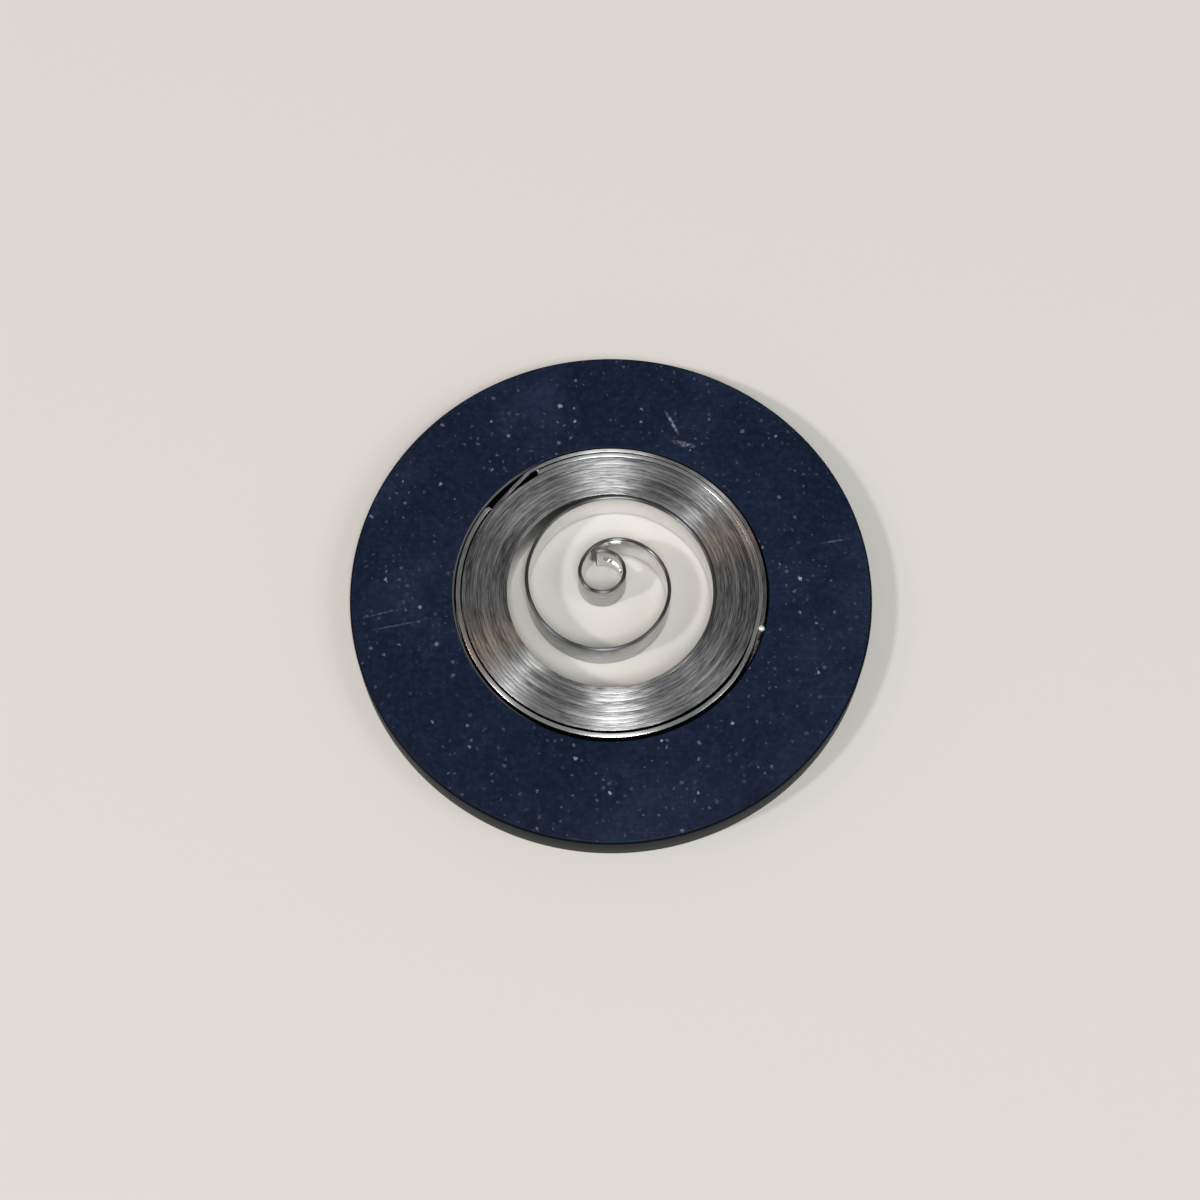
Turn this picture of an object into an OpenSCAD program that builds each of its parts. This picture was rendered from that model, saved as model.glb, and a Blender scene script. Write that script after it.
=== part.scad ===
// Spiral power spring: one steel strip wound into a retaining ring.
// The strip runs from the eye through the free inner coil into the tight turns, clockwise seen
// from above. It leaves the turns through the gap of an open bridle strip that lies round them,
// and its tail ends between the bridle and the bore, welded to the bridle.
// Frame: millimetres, +Z up, origin on the ring's axis in the plane that the part lies on.

/* [Retaining ring] */
// Outer diameter of the ring
ring_d = 20; // [17:0.1:30]
// Bore that keeps the spring wound
bore_d = 12; // [10:0.1:14]
// Height of the ring
ring_h = 1.4; // [0.8:0.05:2.5]
// Rounding of the ring's four edges
ring_edge = 0.12; // [0.05:0.01:0.3]

/* [Strip] */
// Thickness of the spring strip
strip_t = 0.12; // [0.08:0.01:0.16]
// Height of the spring strip
strip_h = 1.5; // [1:0.05:3]
// Number of full tight turns
tight_turns = 11; // [4:1:13]
// Gap left between neighbouring tight turns
turn_gap = 0.024; // [0.02:0.002:0.05]
// Direction from the ring's axis to where the free coil leaves the tight turns, in degrees
free_from = -14; // [-45:1:30]
// Direction of the strip's outer end, in degrees
tail_to = -15; // [-60:1:60]

/* [Eye] */
// Inner diameter of the eye that takes the arbor
eye_d = 1.6; // [1.2:0.05:2]
// Angle through which the eye is curled, in degrees
eye_sweep = 299; // [285:1:305]
// Height of the slot that takes the arbor's hook
slot_h = 0.55; // [0.3:0.05:0.7]
// Length of the hook slot, across the wall of the eye
slot_l = 0.95; // [0.8:0.05:1.1]
// Angle along the curl from its start to the middle of the slot, in degrees
slot_turn = 244; // [200:1:255]

/* [Bridle] */
// Thickness of the bridle strip
bridle_t = 0.12; // [0.08:0.01:0.2]
// Height of the bridle strip
bridle_h = 1.5; // [1:0.05:3]
// Direction of the bridle's first end, in degrees
bridle_from = 120; // [90:1:150]
// Angle that the bridle covers, in degrees
bridle_sweep = 336; // [320:1:345]
// Clearance between the strip's tail and the bore
bore_gap = 0.03; // [0.01:0.01:0.1]

/* [Hidden] */
$fn = 96;
// Sides with which the strip's round edges are drawn
edge_fn = 24;

// Share of the way from the eye's radius to the tight turns' radius that each quarter turn of the
// free coil has, from the outermost quarter inwards
free_shares = [0.98, 0.824, 0.684, 0.556, 0.397, 0.205];
quarters = len(free_shares);
// Free radii are whole steps, so that the ends of neighbouring arcs coincide
radius_step = 0.001;
// Every arc runs on by this hair of a degree, so that neighbouring arcs overlap at any size
seam_lap = 1e-7;

// Angle between each end of the bridle and the strip that passes it
pass_angle = 1;
// The passing stretch is thinner by this on every side, and reaches this far into its neighbours
pass_tuck = 0.005;
pass_lap = 0.15;

// Layers from the bore inwards: tail, bridle, tight turns
tail_r = bore_d / 2 - bore_gap - strip_t / 2;
bridle_r = tail_r - strip_t / 2 - bridle_t / 2;
outer_r = bridle_r - bridle_t / 2 - turn_gap - strip_t / 2;
pitch = strip_t + turn_gap;

// Tight turns: from where the free coil leaves them to the gap of the bridle
tail_from = bridle_from + pass_angle;
coil_to = bridle_from + 360 - bridle_sweep - pass_angle;
coil_sweep = 360 * (tight_turns + 1) - (coil_to - free_from);
inner_r = round((outer_r - pitch * coil_sweep / 360) / radius_step) * radius_step;
last_half = ceil(coil_sweep / 180) - 1;
eye_r = eye_d / 2 + strip_t / 2;

function toward(angle) = [cos(angle), sin(angle)];
function heading(v) = atan2(v[1], v[0]);

// Half turns on two centres, counted outwards, that step the radius by half a pitch each time
function half_centre(k) = [(k % 2 == 0 ? -1 : 1) * pitch / 4, 0];
function half_r(k) = inner_r + pitch / 4 + k * pitch / 2;
function half_sweep(k) = min(180, coil_sweep - 180 * k);
function half_end(k) = (k % 2 == 0 ? 360 : 180) - half_sweep(k);

// Passing stretch: an arc from the end of the tight turns out to the start of the tail
coil_end = half_centre(last_half) + half_r(last_half) * toward(half_end(last_half));
tail_start = tail_r * toward(tail_from - free_from);
pass_r = (norm(coil_end) + norm(tail_start)) / 2;
pass_chord = coil_end - tail_start;
pass_inward = [-pass_chord[1], pass_chord[0]] / norm(pass_chord);
pass_centre =
    (coil_end + tail_start) / 2 + sqrt(pow(pass_r, 2) - pow(norm(pass_chord) / 2, 2)) * pass_inward;
pass_from = heading(tail_start - pass_centre);
pass_sweep = (heading(coil_end - pass_centre) - pass_from + 360) % 360;

// Free coil: quarter arcs that meet tangentially, counted inwards from the tight turns
function free_r(i) =
    round((eye_r + free_shares[i] * (inner_r - eye_r)) / radius_step) * radius_step;
function free_centre(i) =
    i == 0
    ? [inner_r - free_r(0), 0]
    : free_centre(i - 1) + (free_r(i - 1) - free_r(i)) * toward(90 * i);

eye_from = 90 * quarters;
eye_centre = free_centre(quarters - 1) + (free_r(quarters - 1) - eye_r) * toward(eye_from);

// Upright strip section with full-round edges, centred on x = 0
module strip_section(t, h) {
    translate([-t / 2, t / 2])
        square([t, h - t]);
    for (z = [t / 2, h - t / 2])
        translate([0, z])
            circle(d = t, $fn = edge_fn);
}

// Strip bent round centre at radius r, counter-clockwise from one angle through another
module strip_arc(centre, r, from, sweep, t, h) {
    translate(centre)
        rotate([0, 0, from])
            rotate_extrude(angle = sweep + seam_lap)
                translate([r, 0])
                    strip_section(t, h);
}

module tight_coil() {
    for (k = [0 : last_half])
        strip_arc(half_centre(k), half_r(k), half_end(k), half_sweep(k), strip_t, strip_h);
}

// Stretch that passes out through the gap of the bridle, and the tail outside the bridle
module tail() {
    translate([0, 0, pass_tuck])
        strip_arc(
            pass_centre, pass_r, pass_from - pass_lap, pass_sweep + 2 * pass_lap,
            strip_t - 2 * pass_tuck, strip_h - 2 * pass_tuck);
    strip_arc([0, 0], tail_r, tail_to - free_from, tail_from - tail_to, strip_t, strip_h);
}

module free_coil() {
    for (i = [0 : quarters - 1])
        strip_arc(free_centre(i), free_r(i), 90 * i, 90, strip_t, strip_h);
}

module eye() {
    difference() {
        strip_arc(eye_centre, eye_r, eye_from, eye_sweep, strip_t, strip_h);
        translate(eye_centre)
            rotate([0, 0, eye_from + slot_turn])
                translate([eye_r / 4, 0, strip_h / 2])
                    hook_slot(eye_r);
    }
}

// Oblong cutter along +X with round ends
module hook_slot(depth) {
    reach = (slot_l - slot_h) / 2;
    for (y = [-reach, reach])
        translate([0, y, 0])
            rotate([0, 90, 0])
                cylinder(d = slot_h, h = depth);
    translate([0, -reach, -slot_h / 2])
        cube([depth, 2 * reach, slot_h]);
}

// Drawn with the start of the free coil on +X, then turned to its direction
module mainspring() {
    color([0.60, 0.60, 0.61])
        rotate([0, 0, free_from]) {
            tail();
            tight_coil();
            free_coil();
            eye();
        }
}

module bridle() {
    color([0.66, 0.66, 0.67])
        strip_arc([0, 0], bridle_r, bridle_from - bridle_sweep, bridle_sweep, bridle_t, bridle_h);
}

module retaining_ring() {
    e = ring_edge;
    wall = (ring_d - bore_d) / 2;
    color([0.10, 0.13, 0.22])
        rotate_extrude()
            translate([bore_d / 2, 0]) {
                translate([e, 0])
                    square([wall - 2 * e, ring_h]);
                translate([0, e])
                    square([wall, ring_h - 2 * e]);
                for (x = [e, wall - e], z = [e, ring_h - e])
                    translate([x, z])
                        circle(r = e);
            }
}

mainspring();
bridle();
retaining_ring();
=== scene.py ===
import bmesh
import bpy
import math
from mathutils import Matrix, Vector


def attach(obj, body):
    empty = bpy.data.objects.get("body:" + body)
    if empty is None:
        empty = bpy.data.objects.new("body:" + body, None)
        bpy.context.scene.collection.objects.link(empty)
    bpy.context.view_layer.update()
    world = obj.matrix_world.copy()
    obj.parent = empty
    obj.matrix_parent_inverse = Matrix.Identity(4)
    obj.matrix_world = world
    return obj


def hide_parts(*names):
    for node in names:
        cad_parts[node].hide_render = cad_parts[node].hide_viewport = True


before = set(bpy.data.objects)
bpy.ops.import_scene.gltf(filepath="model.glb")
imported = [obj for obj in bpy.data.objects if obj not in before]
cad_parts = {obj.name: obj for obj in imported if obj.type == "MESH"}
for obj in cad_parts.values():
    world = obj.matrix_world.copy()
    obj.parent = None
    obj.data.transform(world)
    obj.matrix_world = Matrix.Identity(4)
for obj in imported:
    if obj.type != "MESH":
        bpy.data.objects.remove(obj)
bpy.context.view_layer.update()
scene = bpy.context.scene
scene.view_settings.view_transform = "Standard"
mm = 0.001  # pieces are drawn in millimetres and then brought to metres
print("frame loaded:", sorted(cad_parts))


def deselectAll():
    if bpy.context.object and bpy.context.object.mode != "OBJECT":
        bpy.ops.object.mode_set(mode="OBJECT")
    bpy.ops.object.select_all(action="DESELECT")


def pickOnly(piece):
    deselectAll()
    bpy.context.view_layer.objects.active = piece
    piece.select_set(True)


def editAll(piece):
    pickOnly(piece)
    bpy.ops.object.mode_set(mode="EDIT")
    bpy.ops.mesh.select_all(action="SELECT")


# Selects the edges of the edited mesh that pass a test
def chooseEdges(piece, test):
    bpy.ops.mesh.select_mode(type="EDGE")
    bpy.ops.mesh.select_all(action="DESELECT")
    mesh = bmesh.from_edit_mesh(piece.data)
    for edge in mesh.edges:
        edge.select_set(bool(test(edge)))
    bmesh.update_edit_mesh(piece.data)


def toward(degrees):
    return Vector((math.cos(math.radians(degrees)), math.sin(math.radians(degrees))))


# Upright rectangle at a radius, its corners rounded, left as an open loop of edges in edit mode
def drawProfile(name, radius, wide, high, corner, cornerSteps):
    deselectAll()
    bpy.ops.mesh.primitive_plane_add(size=1, location=(radius, 0, high / 2), rotation=(math.pi / 2, 0, 0))
    piece = bpy.context.object
    piece.name = piece.data.name = name
    piece.scale = (wide, high, 1)
    bpy.ops.object.transform_apply(location=True, rotation=True, scale=True)
    editAll(piece)
    bpy.ops.mesh.bevel(offset=corner, segments=cornerSteps, affect="VERTICES")
    bpy.ops.mesh.delete(type="ONLY_FACE")
    bpy.ops.mesh.select_all(action="SELECT")
    return piece


# Carries the selected loop round a centre, counter-clockwise seen from above
def rollOn(centre, sweep, stepAngle):
    bpy.ops.mesh.spin(
        steps=max(3, round(sweep / stepAngle)),
        angle=-math.radians(sweep),
        center=(centre[0], centre[1], 0),
        axis=(0, 0, 1),
    )


# Fills open ends, points the faces outwards and leaves edit mode
def closeEnds(piece):
    chooseEdges(piece, lambda edge: edge.is_boundary)
    bpy.ops.mesh.fill_holes(sides=0)
    bpy.ops.mesh.select_all(action="SELECT")
    bpy.ops.mesh.normals_make_consistent(inside=False)
    bpy.ops.object.mode_set(mode="OBJECT")


# Gives a rolled strip a UV map in millimetres, along it and round its section, marks its edges, rubs
# them flatter up to the free length and lets the upper edge dip in slow waves and under the weld bead
def layStrip(piece, settings, radius):
    count, high = 4 * (settings["cornerSteps"] + 1), settings["high"]
    mesh = bmesh.new()
    mesh.from_mesh(piece.data)
    layer = mesh.loops.layers.uv.new("strip")
    edgeMark, outerMark, rubbedMark, shadedBetweenTurnsMark = (
        mesh.verts.layers.float.new(key) for key in ("edge", "outer", "rubbed", "shadedBetweenTurns"))
    start = Vector((radius, 0, high / 2))
    ends = [face for face in mesh.faces if len(face.verts) == count]
    ring = list(min(ends, key=lambda face: (face.calc_center_median() - start).length).verts)
    around = [0.0]
    for first, second in zip(ring, ring[1:] + ring[:1]):
        around.append(around[-1] + (second.co - first.co).length)
    rise = [(abs(vert.co.z - high / 2) - high / 2) / settings["corner"] + 1 for vert in ring]
    outward = [1.0 if vert.co.x > radius else 0.0 for vert in ring]
    place, along, middle = {}, 0.0, None
    while ring:
        centre = sum((vert.co for vert in ring), Vector()) / count
        along += (centre - middle).length if middle is not None else 0.0
        middle = centre
        for i, vert in enumerate(ring):
            place[vert] = (along, i)
        near = [[edge.other_vert(vert) for edge in vert.link_edges] for vert in ring]
        ring = [vert for group in near for vert in group if vert not in place]
    for vert, (s, i) in place.items():
        rubbed = min(1, max(0, (along - settings["freeLong"] - s) / settings["fadeLong"]))
        end = high if vert.co.z > high / 2 else 0
        vert.co.z += settings["rubbed"] * rubbed * (end - vert.co.z)
        dip = sum(size * (1 + math.sin(2 * math.pi * s / wide + wide)) for wide, size in settings["waves"])
        dip += settings["dent"] * math.exp(-((s - settings["dentAt"]) / settings["dentLong"]) ** 2)
        vert.co.z -= dip * vert.co.z / high
        vert[edgeMark] = min(1, 4 * rise[i])  # full from a quarter of the rounding on
        vert[outerMark] = outward[i]
        vert[rubbedMark] = rubbed
        # share of painted shade on the sides that lie between turns
        vert[shadedBetweenTurnsMark] = min(1, max(0, (along - settings["openLong"] - s) / settings["fadeLong"]))
    for face in mesh.faces:
        spots = [place[vert][1] for vert in face.verts]
        closing = len(spots) == 4 and 0 in spots and count - 1 in spots
        for loop in face.loops:
            s, i = place[loop.vert]
            loop[layer].uv = (s, around[count] if closing and i == 0 else around[i])
    mesh.to_mesh(piece.data)
    mesh.free()
    print(piece.name, "laid:", len(place) // count, "sections,", round(along, 1), "mm long")


# Strip rolled through a list of arcs, each a centre, a sweep and a step in degrees
def rollStrip(name, settings, radius, arcs):
    piece = drawProfile(
        name, radius, settings["thick"], settings["high"], settings["corner"], settings["cornerSteps"])
    for centre, sweep, stepAngle in arcs:
        rollOn(centre, sweep, stepAngle)
    closeEnds(piece)
    layStrip(piece, settings, radius)
    return piece


# Turns the piece about the ring's axis, brings it to metres and smooths what isn't a sharp edge
def settle(piece, turn=0.0, smoothAngle=40):
    pickOnly(piece)
    piece.rotation_euler = (0, 0, math.radians(turn))
    piece.scale = (mm, mm, mm)
    bpy.ops.object.transform_apply(location=True, rotation=True, scale=True)
    bpy.ops.object.shade_smooth_by_angle(angle=math.radians(smoothAngle))
    deselectAll()


# Spring strip, from its outer end inwards: tail, stretch that passes the bridle's gap, tight turns,
# free coil, eye with its hook slot
strip = {
    "thick": 0.14,
    "high": 1.4998,     # a hair under the solid's top
    "corner": 0.068,
    "cornerSteps": 4,
    "rubbed": 0.94,     # share by which the edges of the tight turns are rubbed flat
    "freeLong": 30.5,   # mm of free coil and eye
    "openLong": 57.0,   # mm with the innermost tight turn, whose side is open to the eye
    "fadeLong": 3.0,    # mm over which the rubbed and the covered stretches begin
    "waves": ((7.3, 0.008), (3.1, 0.006), (1.3, 0.0032)),  # mm long, mm high
    "dent": 0.045,      # mm deep, under the weld bead
    "dentLong": 0.3,
    "dentAt": 0.0,      # mm from the start of the strip
    "tailRadius": 5.885,
    "tailTo": -15,
    "tailFrom": 121,
    "bendRadius": 1.5,
    "coilTo": 143,
    "freeFrom": -14,
    "pitch": 0.144,
    "turns": 11,
    "innerRadius": 3.981,
    "freeRadii": [3.919, 3.432, 2.995, 2.595, 2.099, 1.5],
    "eyeRadius": 0.86,
    "eyeSweep": 299,
    "slotHigh": 0.55,
    "slotLong": 0.95,
    "slotTurn": 244,
    "slotAway": 0.75,   # middle of the slot's cutter, as a share of the eye's radius
    "slotRound": 0.495,  # rounding of its ends, as a share of its height
    "slotSteps": 10,
    # Degrees from one section to the next
    "tightStep": 3.0,
    "bendStep": 2.0,
    "passStep": 0.6,
    "freeStep": 3.2,
    "eyeStep": 4.0,
}


# Arcs of the strip, drawn with the start of the free coil on +X
def stripArcs():
    side = strip["pitch"] / 4
    tailAngle = strip["tailFrom"] - strip["freeFrom"]
    coilAngle = strip["coilTo"] - strip["freeFrom"]
    coilSweep = 360 * (strip["turns"] + 1) - coilAngle
    lastHalf = math.ceil(coilSweep / 180) - 1
    hubs = [Vector((side if half % 2 else -side, 0)) for half in range(lastHalf + 1)]
    coilRadius = strip["innerRadius"] + side + lastHalf * strip["pitch"] / 2
    bend = strip["bendRadius"]
    bendCentre = (strip["tailRadius"] - bend) * toward(tailAngle)
    offset = bendCentre - hubs[-1] - coilRadius * toward(coilAngle)
    passRadius = (bend ** 2 - offset.length_squared) / (2 * (offset.dot(toward(coilAngle)) + bend))
    passCentre = hubs[-1] + (coilRadius - passRadius) * toward(coilAngle)
    across = bendCentre - passCentre
    meetAngle = math.degrees(math.atan2(across.y, across.x))
    arcs = [
        (Vector((0, 0)), strip["tailFrom"] - strip["tailTo"], strip["tightStep"]),
        (bendCentre, meetAngle - tailAngle, strip["bendStep"]),
        (passCentre, coilAngle - meetAngle, strip["passStep"]),
        (hubs[-1], coilSweep - 180 * lastHalf, strip["tightStep"]),
    ]
    arcs += [(hub, 180, strip["tightStep"]) for hub in reversed(hubs[:-1])]
    centre, reach = Vector((strip["innerRadius"], 0)), 0
    for i, radius in enumerate(strip["freeRadii"]):
        centre = centre + (reach - radius) * toward(90 * i)
        reach = radius
        arcs.append((centre, 90, strip["freeStep"]))
    centre = centre + (reach - strip["eyeRadius"]) * toward(90 * len(strip["freeRadii"]))
    arcs.append((centre, strip["eyeSweep"], strip["eyeStep"]))
    return arcs


def makeStrip():
    lead = strip["freeFrom"] - strip["tailTo"]
    swing = Matrix.Rotation(math.radians(lead), 2)
    arcs = [(swing @ centre, sweep, step) for centre, sweep, step in stripArcs()]
    piece = rollStrip("springStrip", strip, strip["tailRadius"], arcs)

    # Oblong cutter for the arbor's hook
    eye = arcs[-1][0]
    slotAngle = lead + len(strip["freeRadii"]) * 90 + strip["slotTurn"]
    middle = eye + strip["slotAway"] * strip["eyeRadius"] * toward(slotAngle)
    deselectAll()
    bpy.ops.mesh.primitive_cube_add(size=1, location=(0, 0, 0))
    cutter = bpy.context.object
    cutter.scale = (strip["eyeRadius"], strip["slotLong"], strip["slotHigh"])
    bpy.ops.object.transform_apply(location=False, rotation=False, scale=True)
    editAll(cutter)
    chooseEdges(cutter, lambda edge: abs(edge.verts[0].co.x - edge.verts[1].co.x) > 0.1)
    bpy.ops.mesh.bevel(
        offset=strip["slotRound"] * strip["slotHigh"], segments=strip["slotSteps"], affect="EDGES")
    bpy.ops.object.mode_set(mode="OBJECT")
    cutter.rotation_euler = (0, 0, math.radians(slotAngle))
    cutter.location = (middle.x, middle.y, strip["high"] / 2)
    pickOnly(piece)
    cut = piece.modifiers.new("hookSlot", "BOOLEAN")
    cut.operation = "DIFFERENCE"
    cut.solver = "EXACT"
    cut.object = cutter
    bpy.ops.object.modifier_apply(modifier="hookSlot")
    bpy.data.objects.remove(cutter)
    settle(piece, strip["tailTo"])
    return piece


springStrip = makeStrip()
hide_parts("mainspring")
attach(springStrip, "root")
print("spring strip done:", len(springStrip.data.polygons), "faces")

# Bridle: open strip round the tight turns, inside the spring's tail
bridle = {
    "thick": 0.16,
    "high": 1.4998,     # a hair under the solid's top
    "corner": 0.058,
    "cornerSteps": 4,
    "rubbed": 0.8,
    "freeLong": -3.0,   # rubbed and covered from end to end
    "openLong": -3.0,
    "fadeLong": 3.0,
    "waves": ((11.0, 0.002), (4.3, 0.001)),
    "dent": 0.045,
    "dentLong": 0.3,
    "dentAt": 20.3,
    "radius": 5.778,
    "start": 144,
    "sweep": 336,
    "step": 1.0,
    # Degrees from its start, mm towards the bore: it springs out up to the tail, then lies on the turns
    "spread": ((0, 0.07), (176, 0.07), (199, -0.045), (336, -0.1)),
}
bridleArc = ((0, 0), bridle["sweep"], bridle["step"])
bridleStrip = rollStrip("bridleStrip", bridle, bridle["radius"], [bridleArc])
for vert in bridleStrip.data.vertices:
    angle = math.degrees(math.atan2(vert.co.y, vert.co.x)) % 360
    for (first, low), (last, high) in zip(bridle["spread"], bridle["spread"][1:]):
        if first <= angle < last:
            vert.co.xy *= 1 + (low + (high - low) * (angle - first) / (last - first)) / bridle["radius"]
            break
settle(bridleStrip, bridle["start"])
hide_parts("bridle")
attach(bridleStrip, "root")
print("bridle done:", len(bridleStrip.data.polygons), "faces")

# Weld bead: small dome over the end of the tail and the bridle
bead = {
    "radius": 5.925,
    "angle": -15.2,
    "reach": 0.13,      # mm from its middle, along the ring's radius
    "wide": 0.12,       # mm from its middle, along the strip
    "high": 0.1,
    "top": 1.4998,
    "foot": 0.2,        # share of its height that is kept below its widest level
    "segments": 24,
    "levels": 14,
}
deselectAll()
bpy.ops.mesh.primitive_uv_sphere_add(segments=bead["segments"], ring_count=bead["levels"], radius=1)
weldBead = bpy.context.object
weldBead.name = weldBead.data.name = "weldBead"
weldBead.scale = (bead["reach"], bead["wide"], bead["high"])
bpy.ops.object.transform_apply(location=False, rotation=False, scale=True)
editAll(weldBead)
bpy.ops.mesh.bisect(
    plane_co=(0, 0, -bead["foot"] * bead["high"]), plane_no=(0, 0, 1), use_fill=True, clear_inner=True)
bpy.ops.mesh.select_all(action="SELECT")
bpy.ops.mesh.normals_make_consistent(inside=False)
bpy.ops.transform.translate(value=(bead["radius"], 0, bead["top"] - bead["high"]))
bpy.ops.object.mode_set(mode="OBJECT")
settle(weldBead, bead["angle"])
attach(weldBead, "root")
print("weld bead done")

# Retaining ring: flat ring with rounded edges
ring = {
    "outer": 19.9999,   # a hair under the solid's diameter
    "bore": 12.0,
    "high": 1.4,
    "edge": 0.12,
    "edgeSteps": 4,
    "step": 1.5,        # degrees
    "seam": 0.0005,     # mm, doubles closer than this are merged
}
ringWall = (ring["outer"] - ring["bore"]) / 2
holdingRing = drawProfile(
    "holdingRing", ring["bore"] / 2 + ringWall / 2, ringWall, ring["high"], ring["edge"], ring["edgeSteps"])
rollOn((0, 0), 360, ring["step"])
bpy.ops.mesh.select_all(action="SELECT")
bpy.ops.mesh.remove_doubles(threshold=ring["seam"])
bpy.ops.mesh.normals_make_consistent(inside=False)
bpy.ops.object.mode_set(mode="OBJECT")
settle(holdingRing, smoothAngle=30)
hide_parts("retaining_ring")
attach(holdingRing, "root")
print("ring done:", len(holdingRing.data.polygons), "faces")


# Materials
def hexColour(text):
    shares = [int(text[i:i + 2], 16) / 255 for i in (1, 3, 5)]
    return tuple(c / 12.92 if c <= 0.04045 else ((c + 0.055) / 1.055) ** 2.4 for c in shares) + (1.0,)


# Adds a node; a socket among the inputs is linked, any other value is set. A colour mix has its two
# colours at 6 and 7 and its result at output 2
def addNode(tree, kind, inputs=None, **settings):
    node = tree.nodes.new(kind)
    for key, value in settings.items():
        setattr(node, key, value)
    for key, value in (inputs or {}).items():
        if isinstance(value, bpy.types.NodeSocket):
            tree.links.new(value, node.inputs[key])
        else:
            node.inputs[key].default_value = value
    return node


def newMaterial(name):
    material = bpy.data.materials.new(name)
    material.use_nodes = True
    return material, material.node_tree, material.node_tree.nodes["Principled BSDF"]


# Rolled carbon steel strip: the inner side mirrors what is near, the outer side is duller, and sides
# that lie between turns carry painted shade. The rubbed edges of the tight turns carry short lines along the
# strip that spread the light across it, and the round free edges are painted darker, a painted dark
# reflection
steel = {
    "sideBright": "#F2F1F0",
    "sideDull": "#DCDCDB",
    "outerBright": "#DCDCDC",
    "outerDull": "#949598",
    "paintedShadeSide": "#4C4D50",
    # painted shade on the sides that lie between turns
    "edgeBright": "#D8D8D7",
    "edgeDull": "#66676B",
    # painted dark reflection on the round free edges
    "freeEdgeDarkReflection": "#77787B",
    "sideRough": 0.2,
    "roughLow": 0.32,
    "roughHigh": 0.48,
    "anisotropy": 0.95,
    "lineTurn": 0.25,     # a quarter turn, so that the light spreads across the lines
    "streakLong": 0.6,    # mm along the strip
    "streakWide": 0.036,  # mm across it, coarser than real rolling lines so that they show
    "stretch": 7.0,       # mm, dull and bright stretches
    "dullTo": 0.85,       # level of both patterns together up to which the steel is dull
    "brightFrom": 1.15,
}

# Bridle: the same strip with cleaner, brighter edges
bridleSteel = {**steel, "edgeBright": "#F2F2F1", "edgeDull": "#B4B5B7", "roughLow": 0.26, "roughHigh": 0.34}


def makeSteel(name, settings):
    material, tree, shader = newMaterial(name)
    place = addNode(tree, "ShaderNodeUVMap", uv_map="strip").outputs[0]
    edge, outer, rubbed, shadedBetweenTurns = (
        addNode(tree, "ShaderNodeAttribute", attribute_name=key).outputs["Fac"]
        for key in ("edge", "outer", "rubbed", "shadedBetweenTurns"))
    streakScale = (1 / settings["streakLong"], 1 / settings["streakWide"], 0)
    stretchScale = (1 / settings["stretch"], 0, 0)
    patterns = []
    for scale, detail in ((streakScale, 3.0), (stretchScale, 2.0)):
        scaled = addNode(tree, "ShaderNodeVectorMath", {0: place, 1: scale}, operation="MULTIPLY").outputs[0]
        patterns.append(addNode(
            tree, "ShaderNodeTexNoise",
            {"Vector": scaled, "Scale": 1.0, "Detail": detail, "Roughness": 0.6}).outputs[0])
    both = addNode(tree, "ShaderNodeMath", dict(enumerate(patterns)), operation="ADD").outputs[0]
    tone = addNode(
        tree, "ShaderNodeMapRange",
        {"Value": both, "From Min": settings["dullTo"], "From Max": settings["brightFrom"]}).outputs[0]
    innerColour, outerColour, rubbedColour = (
        addNode(
            tree, "ShaderNodeMix",
            {"Factor": tone, 6: hexColour(settings[part + "Dull"]), 7: hexColour(settings[part + "Bright"])},
            data_type="RGBA").outputs[2]
        for part in ("side", "outer", "edge"))
    openColour = addNode(
        tree, "ShaderNodeMix", {"Factor": outer, 6: innerColour, 7: outerColour}, data_type="RGBA").outputs[2]
    # painted shade on the sides that lie between turns
    sideColour = addNode(
        tree, "ShaderNodeMix", {"Factor": shadedBetweenTurns, 6: openColour, 7: hexColour(settings["paintedShadeSide"])},
        data_type="RGBA").outputs[2]
    # painted dark reflection on the free edges, where they are not rubbed flat
    edgeColour = addNode(
        tree, "ShaderNodeMix", {"Factor": rubbed, 6: hexColour(settings["freeEdgeDarkReflection"]), 7: rubbedColour},
        data_type="RGBA").outputs[2]
    colour = addNode(
        tree, "ShaderNodeMix", {"Factor": edge, 6: sideColour, 7: edgeColour}, data_type="RGBA").outputs[2]
    edgeRough = addNode(
        tree, "ShaderNodeMapRange",
        {"Value": tone, "To Min": settings["roughHigh"], "To Max": settings["roughLow"]}).outputs[0]
    rough = addNode(
        tree, "ShaderNodeMapRange",
        {"Value": edge, "To Min": settings["sideRough"], "To Max": edgeRough}).outputs[0]
    tangent = addNode(tree, "ShaderNodeTangent", direction_type="UV_MAP", uv_map="strip").outputs[0]
    tree.links.new(colour, shader.inputs["Base Color"])
    tree.links.new(rough, shader.inputs["Roughness"])
    tree.links.new(tangent, shader.inputs["Tangent"])
    shader.inputs["Metallic"].default_value = 1.0
    shader.inputs["Anisotropic"].default_value = settings["anisotropy"]
    shader.inputs["Anisotropic Rotation"].default_value = settings["lineTurn"]
    return material


# Bare weld metal: a small bright point
weld = {"colour": "#E4E2DE", "metal": 0.4, "rough": 0.4}


def makeWeld():
    material, _, shader = newMaterial("weldSteel")
    shader.inputs["Base Color"].default_value = hexColour(weld["colour"])
    shader.inputs["Metallic"].default_value = weld["metal"]
    shader.inputs["Roughness"].default_value = weld["rough"]
    return material
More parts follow.
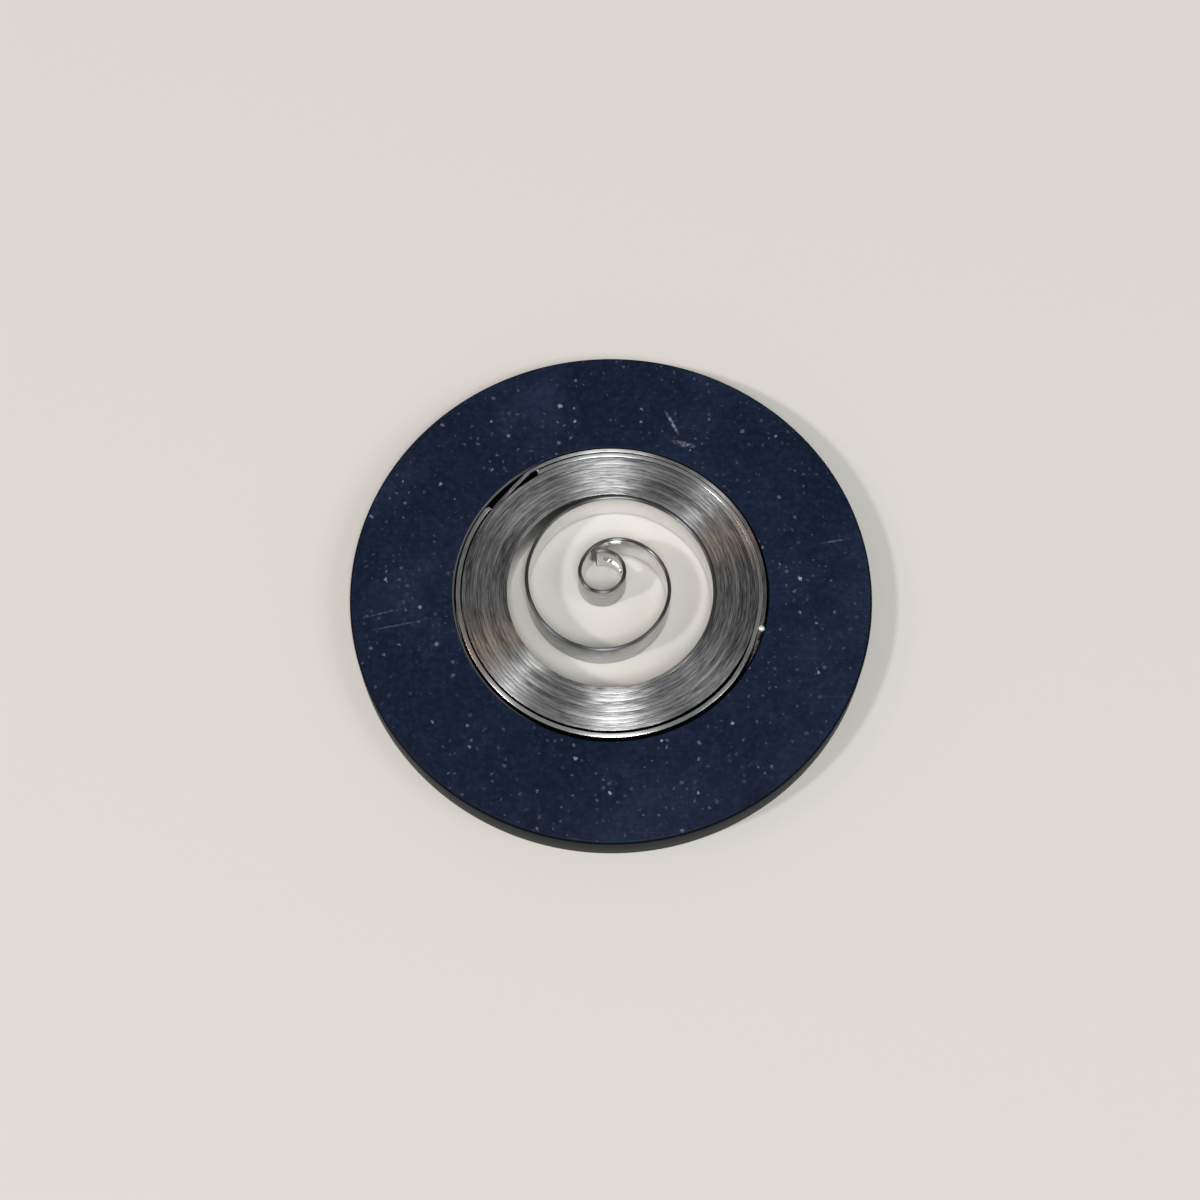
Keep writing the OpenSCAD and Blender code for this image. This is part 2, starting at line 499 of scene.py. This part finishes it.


# Dark blue lacquer on stamped steel: near-black navy with faint haze and grain, pale dust specks,
# faint scratches and scuffs, painted shade as black lines on the outer edge and the bore edge, and a painted
# grey highlight on the bore edge on one side
lacquer = {
    "navy": "#101A2C",
    "milky": "#2C3850",
    "dust": "#B4BCCB",
    # painted shade on the rounded outer edge and bore edge
    "paintedShadeEdge": "#080C15",
    # painted highlight on the bore's rounding, on one side
    "paintedBoreHighlight": "#6A6764",
    "rough": 0.42,
    "shine": 0.06,
    # Size in mm, levels of the noise between which a share rises, and that share
    "haze": {"size": 3.0, "levels": (0.45, 0.75), "shares": (0.0, 0.3)},
    "grain": {"size": 0.22, "levels": (0.42, 0.8), "shares": (0.0, 0.38)},
    "clusters": {"size": 2.2, "levels": (0.38, 0.62), "shares": (0.25, 1.0)},
    "rubbing": {"size": 0.11, "levels": (0.38, 0.58)},  # breaks up the scuffs
    "warpSize": 0.12,         # mm, roughens the outline of the specks
    "warp": 0.2,              # mm
    # Cell in mm, chance from which a cell has a speck, largest size in cells, share of dust
    "largeSpecks": {"cell": 0.66, "from": 0.48, "size": 0.15, "share": 0.85},
    "smallSpecks": {"cell": 0.26, "from": 0.3, "size": 0.28, "share": 0.17},
    "leastSpeck": -0.02,      # in cells, under zero so that the faintest stay away
    "speckRim": 14.0,         # steepness of a speck's rim
    "scratches": {"long": 5.0, "wide": 0.07, "angles": (58, -12), "levels": (0.66, 0.82), "share": 0.14},
    # mm from the ring's axis, degrees, mm long and wide, share
    "scuffs": (
        (2.42, 7.12, -64, 1.3, 0.17, 0.5),
        (2.88, 6.2, -15, 1.1, 0.26, 0.32),
        (-8.1, -1.41, 12, 2.4, 0.09, 0.17),
        (-8.6, -0.9, 14, 1.8, 0.08, 0.14),
        (8.65, 2.06, 10, 1.5, 0.1, 0.2),
    ),
    "scuffCore": 0.2,         # share of a scuff's half length over which it is full
    "outerLine": 0.07,        # mm
    "boreLine": 0.06,         # mm
    "lineFade": 0.02,         # mm
    "highlightDepth": (0.09, 0.05),  # mm under the top, where the painted highlight on the bore's rounding begins and is full
    "highlightSide": (-2.6, -4.0),   # mm along X, where the side with the painted highlight begins and is full
}


# Share of dust at each place: one speck at most in each cell, of its own size and brightness
def makeSpecks(tree, place, cluster, specks):
    cells = addNode(
        tree, "ShaderNodeTexVoronoi", {"Vector": place, "Scale": 1 / (specks["cell"] * mm)},
        voronoi_dimensions="2D")
    chances = addNode(tree, "ShaderNodeSeparateColor", {0: cells.outputs["Color"]})
    size = addNode(
        tree, "ShaderNodeMapRange",
        {"Value": chances.outputs[0], "From Min": specks["from"],
         "To Min": lacquer["leastSpeck"], "To Max": specks["size"]}, clamp=False).outputs[0]
    inside = addNode(
        tree, "ShaderNodeMath", {0: size, 1: cells.outputs["Distance"]}, operation="SUBTRACT").outputs[0]
    share = addNode(
        tree, "ShaderNodeMath", {0: inside, 1: lacquer["speckRim"]}, operation="MULTIPLY",
        use_clamp=True).outputs[0]
    bright = addNode(tree, "ShaderNodeMath", {0: chances.outputs[1], 1: 2.0}, operation="POWER").outputs[0]
    for factor in (bright, cluster, specks["share"]):
        share = addNode(tree, "ShaderNodeMath", {0: share, 1: factor}, operation="MULTIPLY").outputs[0]
    return share


# Share of faint straight scratches in one direction
def makeScratches(tree, place, angle, scratches, mask):
    scale = (1 / (scratches["long"] * mm), 1 / (scratches["wide"] * mm), 0)
    turned = addNode(
        tree, "ShaderNodeMapping",
        {"Vector": place, "Rotation": (0, 0, -math.radians(angle)), "Scale": scale},
        vector_type="POINT").outputs[0]
    lines = addNode(tree, "ShaderNodeTexNoise", {"Vector": turned, "Scale": 1.0, "Detail": 1.0}).outputs[0]
    low, high = scratches["levels"]
    faint = addNode(
        tree, "ShaderNodeMapRange",
        {"Value": lines, "From Min": low, "From Max": high, "To Max": scratches["share"]}).outputs[0]
    return addNode(tree, "ShaderNodeMath", {0: faint, 1: mask}, operation="MULTIPLY").outputs[0]


# Share of a rough scuff at one place
def makeScuff(tree, flat, grain, scuff):
    x, y, angle, length, wide, strength = scuff
    local = addNode(
        tree, "ShaderNodeMapping",
        {"Vector": flat, "Location": (x * mm, y * mm, 0), "Rotation": (0, 0, math.radians(angle)),
         "Scale": (length / 2 * mm, wide / 2 * mm, 1)}, vector_type="TEXTURE").outputs[0]
    away = addNode(tree, "ShaderNodeVectorMath", {0: local}, operation="LENGTH").outputs["Value"]
    near = addNode(
        tree, "ShaderNodeMapRange",
        {"Value": away, "From Min": lacquer["scuffCore"], "To Min": strength, "To Max": 0.0}).outputs[0]
    return addNode(tree, "ShaderNodeMath", {0: near, 1: grain}, operation="MULTIPLY").outputs[0]


def makeLacquer():
    material, tree, shader = newMaterial("blueLacquer")
    place = addNode(tree, "ShaderNodeTexCoord").outputs["Object"]
    flat = addNode(tree, "ShaderNodeVectorMath", {0: place, 1: (1, 1, 0)}, operation="MULTIPLY").outputs[0]
    side, _, height = addNode(tree, "ShaderNodeSeparateXYZ", {0: place}).outputs
    radius = addNode(tree, "ShaderNodeVectorMath", {0: flat}, operation="LENGTH").outputs["Value"]

    # Navy with haze and grain
    shares = []
    for key in ("haze", "grain", "clusters"):
        pattern = lacquer[key]
        noise = addNode(
            tree, "ShaderNodeTexNoise",
            {"Vector": place, "Scale": 1 / (pattern["size"] * mm), "Detail": 3.0, "Roughness": 0.6},
        ).outputs[0]
        low, high = pattern["levels"]
        least, most = pattern["shares"]
        shares.append(addNode(
            tree, "ShaderNodeMapRange",
            {"Value": noise, "From Min": low, "From Max": high, "To Min": least, "To Max": most}).outputs[0])
    haze, grain, cluster = shares
    cloud = addNode(tree, "ShaderNodeMath", {0: haze, 1: grain}, operation="ADD", use_clamp=True).outputs[0]
    body = addNode(
        tree, "ShaderNodeMix",
        {"Factor": cloud, 6: hexColour(lacquer["navy"]), 7: hexColour(lacquer["milky"])},
        data_type="RGBA").outputs[2]

    # Specks, scratches and scuffs
    ripple = addNode(
        tree, "ShaderNodeTexNoise",
        {"Vector": place, "Scale": 1 / (lacquer["warpSize"] * mm), "Detail": 2.0}).outputs[1]
    centred = addNode(
        tree, "ShaderNodeVectorMath", {0: ripple, 1: (0.5, 0.5, 0.5)}, operation="SUBTRACT").outputs[0]
    warp = lacquer["warp"] * mm
    warped = addNode(
        tree, "ShaderNodeVectorMath", {0: centred, 1: (warp, warp, 0), 2: place},
        operation="MULTIPLY_ADD").outputs[0]
    rubbing = lacquer["rubbing"]
    rub = addNode(
        tree, "ShaderNodeTexNoise",
        {"Vector": flat, "Scale": 1 / (rubbing["size"] * mm), "Detail": 2.0}).outputs[0]
    low, high = rubbing["levels"]
    patches = addNode(
        tree, "ShaderNodeMapRange", {"Value": rub, "From Min": low, "From Max": high}).outputs[0]
    scratches = lacquer["scratches"]
    marks = [makeSpecks(tree, warped, cluster, lacquer[key]) for key in ("largeSpecks", "smallSpecks")]
    marks += [makeScratches(tree, place, angle, scratches, haze) for angle in scratches["angles"]]
    marks += [makeScuff(tree, flat, patches, scuff) for scuff in lacquer["scuffs"]]
    dust = marks[0]
    for mark in marks[1:]:
        dust = addNode(tree, "ShaderNodeMath", {0: dust, 1: mark}, operation="ADD", use_clamp=True).outputs[0]
    colour = addNode(
        tree, "ShaderNodeMix", {"Factor": dust, 6: body, 7: hexColour(lacquer["dust"])},
        data_type="RGBA").outputs[2]

    # Painted shade on the edges, and a painted highlight on one side of the bore
    # painted shade: near-black lines along the outer edge and the bore edge
    outerStart = (ring["outer"] / 2 - lacquer["outerLine"]) * mm
    boreStart = (ring["bore"] / 2 + lacquer["boreLine"]) * mm
    fade = lacquer["lineFade"] * mm
    outerShare = addNode(
        tree, "ShaderNodeMapRange",
        {"Value": radius, "From Min": outerStart - fade, "From Max": outerStart}).outputs[0]
    boreShare = addNode(
        tree, "ShaderNodeMapRange",
        {"Value": radius, "From Min": boreStart, "From Max": boreStart + fade, "To Min": 1.0,
         "To Max": 0.0}).outputs[0]
    # painted highlight on the bore's rounding, below the top and on the side towards -X
    depths = [(ring["high"] - depth) * mm for depth in lacquer["highlightDepth"]]
    sides = [away * mm for away in lacquer["highlightSide"]]
    highlightShare = boreShare
    for value, (begin, full) in ((height, depths), (side, sides)):
        share = addNode(
            tree, "ShaderNodeMapRange", {"Value": value, "From Min": begin, "From Max": full}).outputs[0]
        highlightShare = addNode(tree, "ShaderNodeMath", {0: highlightShare, 1: share}, operation="MULTIPLY").outputs[0]
    for share, key in ((outerShare, "paintedShadeEdge"), (boreShare, "paintedShadeEdge"), (highlightShare, "paintedBoreHighlight")):
        colour = addNode(
            tree, "ShaderNodeMix", {"Factor": share, 6: colour, 7: hexColour(lacquer[key])},
            data_type="RGBA").outputs[2]
    tree.links.new(colour, shader.inputs["Base Color"])
    shader.inputs["Roughness"].default_value = lacquer["rough"]
    shader.inputs["Specular IOR Level"].default_value = lacquer["shine"]
    return material


springStrip.data.materials.append(makeSteel("springSteel", steel))
bridleStrip.data.materials.append(makeSteel("bridleSteel", bridleSteel))
weldBead.data.materials.append(makeWeld())
holdingRing.data.materials.append(makeLacquer())
print("materials done")

# Floor, light and camera
stage = {"floor": "#D6D4CE", "floorRough": 0.9, "floorSize": 3.0, "world": 0.2}
deselectAll()
bpy.ops.mesh.primitive_plane_add(size=stage["floorSize"], location=(0, 0, 0))
floor = bpy.context.object
floor.name = "floor"
# Matt pale paint: an even floor without reflections
floorPaint, _, floorShader = newMaterial("palePaint")
floorShader.inputs["Base Color"].default_value = hexColour(stage["floor"])
floorShader.inputs["Roughness"].default_value = stage["floorRough"]
floor.data.materials.append(floorPaint)

world = bpy.data.worlds.new("studio")
scene.world = world
world.use_nodes = True
# The backdrop beyond the floor is seen in the floor's colour and lights the part with less
seen = addNode(world.node_tree, "ShaderNodeLightPath").outputs["Is Camera Ray"]
backdrop = addNode(
    world.node_tree, "ShaderNodeMix",
    {"Factor": seen, 6: (stage["world"],) * 3 + (1.0,), 7: hexColour(stage["floor"])},
    data_type="RGBA").outputs[2]
world.node_tree.links.new(backdrop, world.node_tree.nodes["Background"].inputs["Color"])

# Each lamp gives the floor its share of the light
lamps = {
    "overhead": {"toward": (0.042, -0.43, 0.902), "size": (0.26, 0.38), "share": 0.51, "colour": "#FFFFFF"},
    "side": {"toward": (-0.63, -0.264, 0.73), "size": (0.09, 0.09), "share": 0.22, "colour": "#FFFFFF"},
    "fill": {"toward": (0.636, -0.27, 0.723), "size": (0.4, 0.4), "share": 0.12, "colour": "#FFFFFF"},
    "warmCard": {"toward": (-0.809, -0.028, 0.587), "size": (0.16, 0.16), "share": 0.06, "colour": "#FFCC94"},
}
lampAway = 1.0  # m
for name, lamp in lamps.items():
    direction = Vector(lamp["toward"]).normalized()
    light = bpy.data.lights.new(name, "AREA")
    light.shape = "RECTANGLE"
    light.size, light.size_y = lamp["size"]
    light.energy = lamp["share"] * (math.pi * lampAway) ** 2 / direction.z
    light.color = hexColour(lamp["colour"])[:3]
    holder = bpy.data.objects.new(name, light)
    scene.collection.objects.link(holder)
    holder.location = direction * lampAway
    holder.rotation_euler = direction.to_track_quat("Z", "Y").to_euler()

# Target and distance in mm, elevation in degrees
view = {"target": (-0.42, -0.41, 1.45), "elevation": 68.5, "away": 84.0, "lens": 66.0, "sensor": 36.0}
camera = bpy.data.cameras.new("camera")
camera.lens = view["lens"]
camera.sensor_width = view["sensor"]
camera.clip_start, camera.clip_end = 0.001, 10.0
cameraHolder = bpy.data.objects.new("camera", camera)
scene.collection.objects.link(cameraHolder)
tilt = math.radians(view["elevation"])
back = Vector((0, -math.cos(tilt), math.sin(tilt)))
cameraHolder.location = (Vector(view["target"]) + view["away"] * back) * mm
cameraHolder.rotation_euler = back.to_track_quat("Z", "Y").to_euler()
scene.camera = cameraHolder
print("stage done")
